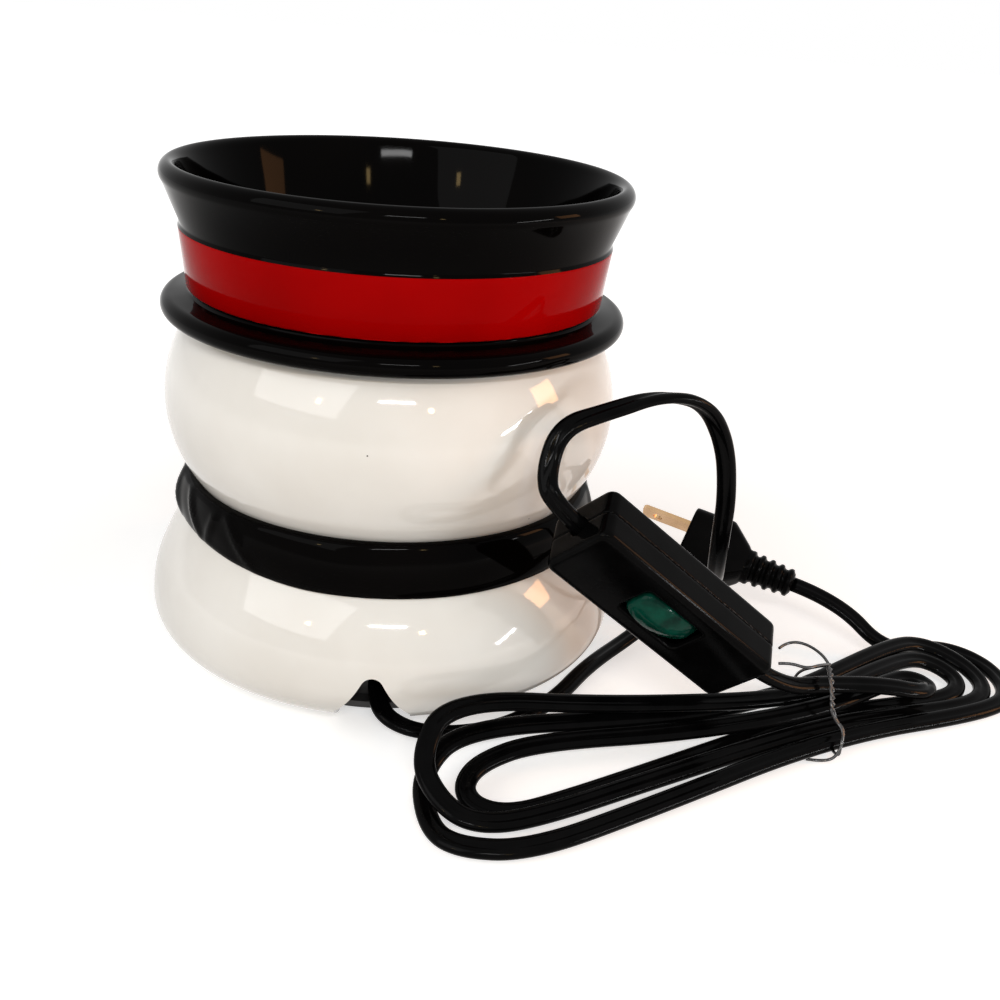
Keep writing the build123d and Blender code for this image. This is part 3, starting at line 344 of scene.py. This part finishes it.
white_glaze = glaze("white_glaze", (0.76, 0.74, 0.70), (0.84, 0.83, 0.80), 0.5, (0.06, 0.05, 0.045))
black_glaze = glaze("black_glaze", (0.0006, 0.0005, 0.0005), (0.0016, 0.0012, 0.0011), 0.021)
red_glaze = glaze("red_glaze", (0.29, 0.0004, 0.0006), (0.38, 0.0008, 0.001), 0.011)
bisque = surface("bisque", (0.62, 0.58, 0.52), (0.74, 0.70, 0.64), (0.7, 0.9), 60, (900, 0.3, 0.0004))
pvc = surface("cord_pvc", (0.0008, 0.0008, 0.0009), (0.0022, 0.0022, 0.0024), (0.08, 0.14), 120,
              (1500, 0.10, 0.0003), specular=0.035)
housing = surface("switch_plastic", (0.001, 0.001, 0.001), (0.0028, 0.0028, 0.003), (0.06, 0.10), 90,
                  (2600, 0.08, 0.0002), specular=0.024)
tie_coating = surface("tie_coating", (0.012, 0.012, 0.013), (0.03, 0.03, 0.032), (0.15, 0.25), 200,
                      (1800, 0.15, 0.0002), specular=0.6)
steel = surface("steel", (0.50, 0.50, 0.51), (0.66, 0.66, 0.67), (0.24, 0.40), 140, (1600, 0.15, 0.0002), 1.0)
brass = surface("brass", (0.52, 0.33, 0.17), (0.68, 0.45, 0.26), (0.18, 0.32), 160, (1600, 0.12, 0.0002), 1.0)
spun = surface("spun_aluminium", (0.66, 0.66, 0.67), (0.71, 0.71, 0.72), (0.28, 0.42), 130,
               (1300, 0.2, 0.0002), 1.0)
silicone = surface("silicone", (0.55, 0.53, 0.49), (0.66, 0.64, 0.60), (0.55, 0.7), 90, (900, 0.15, 0.0003))
mica = surface("mica", (0.40, 0.33, 0.22), (0.62, 0.54, 0.40), (0.35, 0.55), 110, (700, 0.3, 0.0003))
fibre = surface("fibre_pad", (0.70, 0.68, 0.63), (0.84, 0.83, 0.79), (0.85, 0.98), 300, (1400, 0.8, 0.0006))
sleeve = surface("lead_sleeve", (0.62, 0.60, 0.54), (0.76, 0.74, 0.69), (0.5, 0.7), 200, (2400, 0.5, 0.0003))
cover_plastic = surface("cover_plastic", (0.02, 0.02, 0.02), (0.05, 0.05, 0.05), (0.45, 0.6), 90,
                        (2200, 0.3, 0.0003))
foot_rubber = surface("foot_rubber", (0.03, 0.03, 0.03), (0.07, 0.07, 0.07), (0.75, 0.9), 150,
                      (1800, 0.3, 0.0003))
lens = surface("green_lens", (0.0004, 0.008, 0.006), (0.0015, 0.058, 0.037), (0.03, 0.08), 170,
               (300, 0.3, 0.0006), specular=0.06)
lamp_glass = surface("lamp_glass", (0.8, 0.86, 0.8), (0.92, 0.96, 0.92), (0.03, 0.08), 200,
                     (600, 0.05, 0.0002))
lamp_glass.node_tree.nodes["Principled BSDF"].inputs["Transmission Weight"].default_value = 0.9

for piece in (cord_lead, cord_hank):
    piece.data.materials.append(pvc)


# Ceramics: finely turned copies of the castings, in millimetres (radius, height)
def arc(start, middle, end, count):
    """Points on the circle through three points, without its first one."""
    (ax, ay), (bx, by), (cx, cy) = start, middle, end
    d = 2 * (ax * (by - cy) + bx * (cy - ay) + cx * (ay - by))
    sa, sb, sc = ax * ax + ay * ay, bx * bx + by * by, cx * cx + cy * cy
    ox = (sa * (by - cy) + sb * (cy - ay) + sc * (ay - by)) / d
    oy = (sa * (cx - bx) + sb * (ax - cx) + sc * (bx - ax)) / d
    radius = math.hypot(ax - ox, ay - oy)
    first = math.atan2(ay - oy, ax - ox)
    through = (math.atan2(by - oy, bx - ox) - first) % (2 * math.pi)
    sweep = (math.atan2(cy - oy, cx - ox) - first) % (2 * math.pi)
    if through > sweep:
        sweep -= 2 * math.pi
    return [
        (ox + radius * math.cos(first + sweep * i / count), oy + radius * math.sin(first + sweep * i / count))
        for i in range(1, count + 1)
    ]


def tangent_arc(start, end, tangent, count):
    """Points on the arc that leaves start along tangent, without its first one, and its final direction."""
    tx, ty = tangent
    dx, dy = end[0] - start[0], end[1] - start[1]
    k = (dx * dx + dy * dy) / (2 * (-dx * ty + dy * tx))
    ox, oy = start[0] - k * ty, start[1] + k * tx
    first = math.atan2(start[1] - oy, start[0] - ox)
    last = math.atan2(end[1] - oy, end[0] - ox)
    sign = math.copysign(1, k)
    sweep = ((last - first) * sign) % (2 * math.pi) * sign
    points = [
        (ox + abs(k) * math.cos(first + sweep * i / count), oy + abs(k) * math.sin(first + sweep * i / count))
        for i in range(1, count + 1)
    ]
    return points, (-sign * math.sin(last), sign * math.cos(last))


SEGMENTS = 288


def turned(name, rings, shape=None, capped=False):
    """A solid of revolution from (radius, height, paint): a closed loop, or a line capped at both ends."""
    vertices, faces, paints = [], [], []
    for index, (radius, height, _) in enumerate(rings):
        for step in range(SEGMENTS):
            angle = 2 * math.pi * step / SEGMENTS
            r, z = shape(index, angle, radius, height) if shape else (radius, height)
            vertices.append((r * math.cos(angle) * MM, r * math.sin(angle) * MM, z * MM))
    last = len(rings) - 1
    for index in range(last if capped else last + 1):
        following = (index + 1) % len(rings)
        for step in range(SEGMENTS):
            beside = (step + 1) % SEGMENTS
            faces.append((
                index * SEGMENTS + step, index * SEGMENTS + beside,
                following * SEGMENTS + beside, following * SEGMENTS + step,
            ))
            paints.append(rings[index][2])
    if capped:
        faces += [tuple(reversed(range(SEGMENTS))), tuple(last * SEGMENTS + step for step in range(SEGMENTS))]
        paints += [rings[0][2], rings[last][2]]
    piece = mesh_object(name, vertices, faces)
    for face, paint in zip(piece.data.polygons, paints):
        face.material_index = paint
    return piece


def painted(points, paint):
    return [(*point, paint) for point in points]


CASTING_CREASE = 50  # degrees


def soften(piece, width, angle):
    rounding = piece.modifiers.new("rounding", "BEVEL")
    rounding.width = width
    rounding.segments = 3
    rounding.limit_method = "ANGLE"
    rounding.angle_limit = math.radians(angle)
    piece.data.set_sharp_from_angle(angle=math.radians(CASTING_CREASE))


WHITE, BLACK, RAW = 0, 1, 2
haunch, sole_way = tangent_arc((71.6, 20.5), (65.6, 9.5), (0, -1), 14)
sole, _ = tangent_arc((65.6, 9.5), (51.5, 1.6), sole_way, 12)
belly, _ = tangent_arc((71.6, 20.5), (62.0, 44.3), (0, 1), 26)
inner_haunch, _ = tangent_arc((67.1, 20.5), (61.1, 14.0), (0, -1), 6)
inner_belly, _ = tangent_arc((67.1, 20.5), (57.5, 44.3), (0, 1), 10)
below = painted(sole[::-1] + haunch[::-1] + [(71.6, 20.5)] + belly[:-1], WHITE)
scarf_first = len(below)
scarf_rings = [(62.0, 44.3), (62.7, 44.5), (63.1, 45.3)] + arc((63.1, 45.3), (63.3, 52.0), (61.6, 58.9), 14)
scarf_rings += [(61.1, 59.5), (60.2, 59.8)]
scarf_count = len(scarf_rings)
above = [(58.6, 59.6)] + arc((58.6, 59.6), (66.9, 83.5), (60.6, 105.6), 44)
rings = below + painted(scarf_rings, BLACK) + painted(above, WHITE)
rings += painted([(59.4, 106.8), (52.5, 106.8), (52.5, 101.8), (45, 101.8), (45, 97.3), (56.1, 97.3)], WHITE)
inside = arc((56.1, 97.3), (62.4, 83.5), (54.1, 59.6), 14) + [(57.5, 44.3)]
inside += inner_belly[-2::-1] + [(67.1, 20.5)] + inner_haunch
inside += [(44.5, 9.1), (44.5, 3.6), (48.8, 3.6), (48.8, 1.6)]
rings += painted(inside, RAW)

# Folds of the scarf: (angle and height of one end, of the other, width, depth), angles from -Y towards -X
folds = [
    ((64, 60.5), (53, 48.0), 1.5, 0.9),
    ((47, 56.5), (49.5, 48.5), 1.3, 0.6),
    ((49.5, 48.5), (38, 46.0), 1.2, 0.5),
    ((42, 59.0), (31, 45.8), 1.3, 0.7),
    ((78, 60.0), (70, 48.0), 2.2, 1.1),
    ((88, 47.0), (96, 58.0), 2.0, 0.9),
    ((112, 59.0), (104, 46.0), 1.8, 0.8),
    ((-66, 58.0), (-58, 46.0), 1.6, 0.6),
    ((-84, 59.0), (-78, 46.0), 1.8, 0.8),
]
MM_PER_DEGREE = 1.09  # round the scarf
LIFT_LEFT, LIFT_RIGHT, LIFT_BACK = 3.6, 1.2, 2.4
LIFT_FROM, LIFT_SPAN = 34, 10.3  # heights of the belly that rise with the scarf's lower edge


def scarf_lift(bearing):
    """How far the scarf's lower edge is raised, in millimetres. Both sides meet at the back."""
    side = LIFT_LEFT if bearing > 0 else LIFT_RIGHT
    return (side + (LIFT_BACK - side) * ease(100, 180, abs(bearing))) * ease(12, 67, abs(bearing))


def fold_at(bearing, height):
    total = 0.0
    for (a0, z0), (a1, z1), width, depth in folds:
        px, pz = (bearing - a0) * MM_PER_DEGREE, height - z0
        dx, dz = (a1 - a0) * MM_PER_DEGREE, z1 - z0
        share = min(max((px * dx + pz * dz) / (dx * dx + dz * dz), 0), 1)
        gap = math.hypot(px - share * dx, pz - share * dz)
        total += depth * math.exp(-((gap / width) ** 2))
    return total


def body_shape(index, angle, radius, height):
    bearing = math.degrees(math.atan2(-math.cos(angle), -math.sin(angle)))
    if index < scarf_first:
        share = max((height - LIFT_FROM) / LIFT_SPAN, 0)
        return radius, height + scarf_lift(bearing) * share * share
    if index < scarf_first + scarf_count:
        share = (index - scarf_first) / scarf_count
        lifted = height + scarf_lift(bearing) * (1 - share) ** 1.5
        edge = math.sin(math.pi * share)
        wave = 0.18 * math.sin(math.radians(bearing * 5 + 40))
        wave += 0.12 * math.sin(math.radians(bearing * 11))
        return radius + edge * (fold_at(bearing, lifted) + wave), lifted
    return radius, height


body = turned("glazed_body", rings, body_shape)
NOTCH_X, FOOT_Z = 2.2, 1.6
NOTCH_REACH = (-90, -40)
notch_outline = [(-10.5, -4), (10.5, -4), (10.5, 10)]
notch_outline += arc((10.5, 10), (6.3, 15.5), (3.0, 21.0), 10)
notch_outline += arc((3.0, 21.0), (0, 23.0), (-3.0, 21.0), 10)
notch_outline += arc((-3.0, 21.0), (-6.3, 15.5), (-10.5, 10), 10)
count = len(notch_outline)
cutter = mesh_object(
    "notch",
    [((NOTCH_X + x) * MM, y * MM, (FOOT_Z + z) * MM) for y in NOTCH_REACH for x, z in notch_outline],
    [tuple(range(count)), tuple(reversed(range(count, 2 * count)))]
    + [(i, i + count, (i + 1) % count + count, (i + 1) % count) for i in range(count)],
    smooth=False,
)
for made in (white_glaze, black_glaze, bisque):
    body.data.materials.append(made)
cut = body.modifiers.new("notch", "BOOLEAN")
cut.object = cutter
cut.solver = "EXACT"
bpy.context.view_layer.update()
shaped = bpy.data.meshes.new_from_object(body.evaluated_get(bpy.context.evaluated_depsgraph_get()))
body.modifiers.clear()
body.data = shaped
bpy.data.objects.remove(cutter)
for face in body.data.polygons:
    face.use_smooth = True
soften(body, width=0.9 * MM, angle=38)
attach(body, "base")
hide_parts("body_shell")

HAT, BAND = 0, 1
dish_rings = painted([(0.5, 104.3), (51.3, 104.3), (51.3, 107.4), (64.5, 107.4)], HAT)
dish_rings += painted(arc((64.5, 107.4), (67.5, 110.4), (64.5, 113.4), 14), HAT)
dish_rings += painted([(61.0, 113.9), (59.7, 114.4), (59.5, 115.3)], HAT)
dish_rings += painted([(59.9, 115.5), (60.25, 115.9), (62.15, 131.7)], BAND)
dish_rings += painted([(62.2, 132.3), (61.8, 132.9), (61.7, 133.5), (66.4, 144.8)], HAT)
dish_rings += painted(arc((66.4, 144.8), (67.0, 147.8), (64.6, 150.2), 10), HAT)
dish_rings += painted(arc((64.6, 150.2), (62.96, 149.48), (62.0, 147.8), 6), HAT)
dish_rings += painted([(57.3, 132.5), (55.2, 118.3)], HAT)
dish_rings += painted(arc((55.2, 118.3), (52.9, 112.0), (46.2, 109.3), 10) + [(0.5, 109.3)], HAT)
dish = turned("glazed_hat_dish", dish_rings, capped=True)
for made in (black_glaze, red_glaze):
    dish.data.materials.append(made)
soften(dish, width=0.5 * MM, angle=40)
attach(dish, "dish")
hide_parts("hat_dish")


# Wire tie: one wire round the waist, its ends twisted together down the front, then hooked and bent aside
WIRE_RADIUS = 0.45 * MM
tie = bpy.data.curves.new("tie_wire", "CURVE")
tie.dimensions = "3D"
tie.bevel_depth = WIRE_RADIUS
tie.bevel_resolution = 3
TWIST_TURNS = 3.5
TWIST_STEPS = 28
TWIST_WIDE, TWIST_DEEP = 0.5, 0.35
twist_spine = [(2.1, 0.4, 22.8), (0.4, -3.6, 21.2), (-0.9, -7.2, 17.0), (-1.4, -9.2, 13.2)]


def twisted(start):
    """One wire of the twisted pair, which turns about the spine."""
    points = []
    for step in range(TWIST_STEPS + 1):
        share = step / TWIST_STEPS * (len(twist_spine) - 1)
        first = min(int(share), len(twist_spine) - 2)
        centre = Vector(twist_spine[first]).lerp(Vector(twist_spine[first + 1]), share - first)
        angle = start + 2 * math.pi * TWIST_TURNS * step / TWIST_STEPS
        deep = TWIST_DEEP * math.sin(angle)
        points.append(centre + Vector((TWIST_WIDE * math.cos(angle), deep, deep)))
    return points


round_back = [
    (-0.6, -10.5, 10.5), (0.6, -13.0, 8.6), (-1.6, -15.6, 5.6), (-1.4, -15.4, 1.6), (0, -10, 0.8),
    (0, 2, 0.8), (0, 8, 3.2), (0, 12.6, 8.2), (0, 11.6, 14.6), (1, 4.0, 20.4), (2.4, 1.2, 22.0),
]
hook = [
    (-0.6, -10.5, 10.5), (1.2, -12.6, 8.8), (-1.6, -15.9, 5.2), (-3.6, -16.0, 1.6), (-8.0, -14.4, 0.9),
    (-10.6, -12.6, 0.9),
]
tails = [
    [(2.1, 0.4, 22.8), (1.8, 2.6, 24.6), (-0.6, 9.4, 25.6), (-5.4, 11.6, 25.4), (-9.2, 9.8, 24.8)],
    [(2.1, 0.4, 22.8), (-2.6, -2.0, 24.8), (-8.6, -3.6, 25.2), (-12.4, -0.6, 26.0), (-15.6, 0.6, 25.6)],
]
for points in (twisted(0) + round_back, twisted(math.pi) + hook, *tails):
    spline = tie.splines.new("NURBS")
    spline.points.add(len(points) - 1)
    for place, point in zip(spline.points, points):
        place.co = (*(on_hank(*point) * MM), 1)
    spline.use_endpoint_u = True
    spline.order_u = 3
tie_wire = bpy.data.objects.new("tie_wire", tie)
scene.collection.objects.link(tie_wire)
tie.materials.append(tie_coating)
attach(tie_wire, "base")
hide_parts("twist_tie")


# Plug and switch: the moulded parts with their edges rounded
def moulded(name, node, voxel, passes):
    """A copy of a CAD node, evenly meshed and smoothed until its edges are round."""
    piece = bpy.data.objects.new(name, nodes[node].data.copy())
    scene.collection.objects.link(piece)
    even = piece.modifiers.new("even", "REMESH")
    even.mode = "VOXEL"
    even.voxel_size = voxel
    rounding = piece.modifiers.new("rounding", "SMOOTH")
    rounding.factor = 0.5
    rounding.iterations = passes
    bpy.context.view_layer.update()
    shaped = bpy.data.meshes.new_from_object(piece.evaluated_get(bpy.context.evaluated_depsgraph_get()))
    piece.modifiers.clear()
    piece.data = shaped
    piece.data.materials.clear()
    piece.data.shade_smooth()
    return piece


plug = moulded("plug_grip", "plug_body", 0.45 * MM, 18)
switch_top = moulded("switch_face", "switch_top_shell", 0.35 * MM, 8)
switch_bottom = moulded("switch_back", "switch_bottom_shell", 0.35 * MM, 8)
for piece, node, slot in (
    (plug, "plug_body", "black_pvc"),
    (switch_top, "switch_top_shell", "switch_plastic"),
    (switch_bottom, "switch_bottom_shell", "switch_plastic"),
):
    piece.data.materials.append(housing)
    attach(piece, "base")
    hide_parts(node)


# Rocker: a domed lens with a rounded plan, in the frame of its pivot
TILT = math.radians(8)
pivot_x = switch_x * math.cos(TILT) - switch_z * math.sin(TILT)
pivot_z = switch_x * math.sin(TILT) + switch_z * math.cos(TILT)
LENS_HALF = (10.6, 5.55)
LENS_RINGS = 14
LENS_SIDES = 72
PIVOT_HEIGHT = 4.2  # above the switch's middle, then heights above the pivot
LENS_ENDS, LENS_CROWN, LENS_FALL = 4.2, 2.5, 1.9
EDGE_FROM, EDGE_DROP = 0.8, 0.7  # share of the way out where the edge starts to fall
SKIRT_FOOT, FLOOR_HEIGHT, FLOOR_SHARE = 0.8, 0.6, 0.3


def lens_point(ring, side):
    """A point of the lens: rings 0 to LENS_RINGS run over the dome, the last two down the skirt and in."""
    angle = 2 * math.pi * side / LENS_SIDES
    share = min(ring, LENS_RINGS) / LENS_RINGS
    x, y = (
        half * share * math.copysign(abs(turn) ** 0.5, turn)
        for half, turn in zip(LENS_HALF, (math.cos(angle), math.sin(angle)))
    )
    height = LENS_ENDS + LENS_CROWN * (1 - (x / LENS_HALF[0]) ** 2) - LENS_FALL * abs(y / LENS_HALF[1]) ** 1.5
    height -= EDGE_DROP * (max(share - EDGE_FROM, 0) / (1 - EDGE_FROM)) ** 2
    if ring == LENS_RINGS + 1:
        height = SKIRT_FOOT
    if ring == LENS_RINGS + 2:
        x, y, height = FLOOR_SHARE * x, FLOOR_SHARE * y, FLOOR_HEIGHT
    return on_switch(0, 0, PIVOT_HEIGHT) + pivot_x * x + switch_y * y + pivot_z * height


lens_points = [lens_point(0, 0)]
lens_points += [lens_point(ring, side) for ring in range(1, LENS_RINGS + 3) for side in range(LENS_SIDES)]
lens_faces = [(0, 1 + side, 1 + (side + 1) % LENS_SIDES) for side in range(LENS_SIDES)]
for ring in range(LENS_RINGS + 1):
    first = 1 + ring * LENS_SIDES
    for side in range(LENS_SIDES):
        a, b = first + side, first + (side + 1) % LENS_SIDES
        lens_faces.append((a, a + LENS_SIDES, b + LENS_SIDES, b))
floor_first = 1 + (LENS_RINGS + 1) * LENS_SIDES
lens_faces.append(tuple(floor_first + side for side in reversed(range(LENS_SIDES))))
rocker_lens = mesh_object("rocker_lens", metres(lens_points), lens_faces)
rocker_lens.data.set_sharp_from_angle(angle=math.radians(60))
rocker_lens.data.materials.append(lens)
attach(rocker_lens, "rocker")
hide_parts("rocker")


# Materials of the CAD nodes that show as they are
CAD_CREASE = 32  # degrees
finishes = {
    brass: ["plug_blades", "rocker_plunger", "contact_lever", "lever_post", "line_terminal"],
    steel: [
        "clamp_plate", "tie_rod", "rod_nuts", "rod_washers", "fuse_strap", "clamp_screws",
        "switch_screws", "heater_ribbon", "thermal_fuse",
    ],
    spun: ["heating_plate"],
    silicone: ["plate_gasket"],
    mica: ["mica_upper", "mica_lower"],
    fibre: ["insulation_pad"],
    sleeve: ["heater_leads", "switch_wires", "wire_splices"],
    cover_plastic: ["base_cover", "cord_clamp"],
    foot_rubber: ["rubber_feet"],
    pvc: ["cord_tail"],
    lamp_glass: ["neon_lamp"],
}
for finish, names in finishes.items():
    for name in names:
        mesh = nodes[name].data
        mesh.materials.clear()
        mesh.materials.append(finish)
        mesh.shade_smooth()
        mesh.set_sharp_from_angle(angle=math.radians(CAD_CREASE))


# Studio: pale floor that goes over to white with distance, white surround, soft lamps
def seen_rays(tree):
    """1 for rays that show the background, straight, mirrored or through glass, and 0 for those that light."""
    rays = add_node(tree, "ShaderNodeLightPath").outputs
    mirrored = combine(tree, "MAXIMUM", rays["Is Camera Ray"], rays["Is Glossy Ray"])
    return combine(tree, "MAXIMUM", mirrored, rays["Is Transmission Ray"])


FLOOR_HALF = 4
FLOOR_GAP = 0.0002  # under the feet
WHITE_LIGHT = (1, 1, 1, 1)
corners = [(x * FLOOR_HALF, y * FLOOR_HALF, 0) for x, y in ((-1, -1), (1, -1), (1, 1), (-1, 1))]
floor = mesh_object("floor", corners, [(0, 1, 2, 3)], smooth=False)
floor.location.z = -FLOOR_GAP
floor_look, tree, shader = material("floor", (0.8, 0.8, 0.8), 0.6, specular=0.0)
floor_tone = ramp(tree, noise(tree, 3), 0.2, 0.8, (0.79, 0.79, 0.79), (0.81, 0.81, 0.81))
tree.links.new(floor_tone, shader.inputs["Base Color"])
spot = add_node(tree, "ShaderNodeVectorMath", {"operation": "LENGTH"})
tree.links.new(add_node(tree, "ShaderNodeNewGeometry").outputs["Position"], spot.inputs[0])
paling = add_node(tree, "ShaderNodeMapRange", From_Min=0.12, From_Max=0.5, To_Min=0.55, To_Max=1.0)
tree.links.new(spot.outputs["Value"], paling.inputs["Value"])
shader.inputs["Emission Color"].default_value = WHITE_LIGHT
glow = combine(tree, "MULTIPLY", paling.outputs["Result"], seen_rays(tree))
tree.links.new(glow, shader.inputs["Emission Strength"])
floor.data.materials.append(floor_look)

world = bpy.data.worlds.new("studio")
scene.world = world
world.use_nodes = True
tree = world.node_tree
ambient = tree.nodes["Background"]
ambient.inputs["Color"].default_value = (1.0, 0.97, 0.93, 1)
ambient.inputs["Strength"].default_value = 0.2
surround = add_node(tree, "ShaderNodeBackground", Color=WHITE_LIGHT, Strength=1.0)
either = add_node(tree, "ShaderNodeMixShader")
tree.links.new(seen_rays(tree), either.inputs["Fac"])
tree.links.new(ambient.outputs["Background"], either.inputs[1])
tree.links.new(surround.outputs["Background"], either.inputs[2])
tree.links.new(either.outputs["Shader"], tree.nodes["World Output"].inputs["Surface"])


def softbox(name, place, aim, size, power, tint=(1, 1, 1), roll=0):
    light = bpy.data.lights.new(name, "AREA")
    light.shape = "RECTANGLE"
    light.size, light.size_y = size
    light.energy = power
    light.color = tint
    holder = bpy.data.objects.new(name, light)
    holder.location = place
    facing = (Vector(aim) - Vector(place)).to_track_quat("-Z", "Y")
    holder.rotation_euler = (facing @ Quaternion((0, 0, 1), math.radians(roll))).to_euler()
    scene.collection.objects.link(holder)


MIDDLE = (0, 0, 0.07)
BULB_SIZE, BULB_POWER, AMBER = (0.04, 0.06), 0.5, (1.0, 0.70, 0.30)
softbox("window", (0.10, -0.86, 0.58), MIDDLE, (0.28, 0.026), 2.5)
softbox("key", (-0.78, -0.80, 0.80), MIDDLE, (1.1, 0.9), 7.9)
softbox("left_bulb", (-0.52, -0.80, 0.50), MIDDLE, BULB_SIZE, BULB_POWER, AMBER)
softbox("right_bulb", (0.38, -0.88, 0.50), MIDDLE, BULB_SIZE, BULB_POWER, AMBER)
softbox("edge", (0.765, -0.345, 0.165), (0.087, -0.075, 0.055), (0.31, 0.022), 1.7, roll=28)
softbox("warm", (0.80, -0.05, 0.32), (0.05, 0, 0.07), (0.20, 0.20), 1.5, (1.0, 0.46, 0.18))

scene.view_settings.view_transform = "Standard"
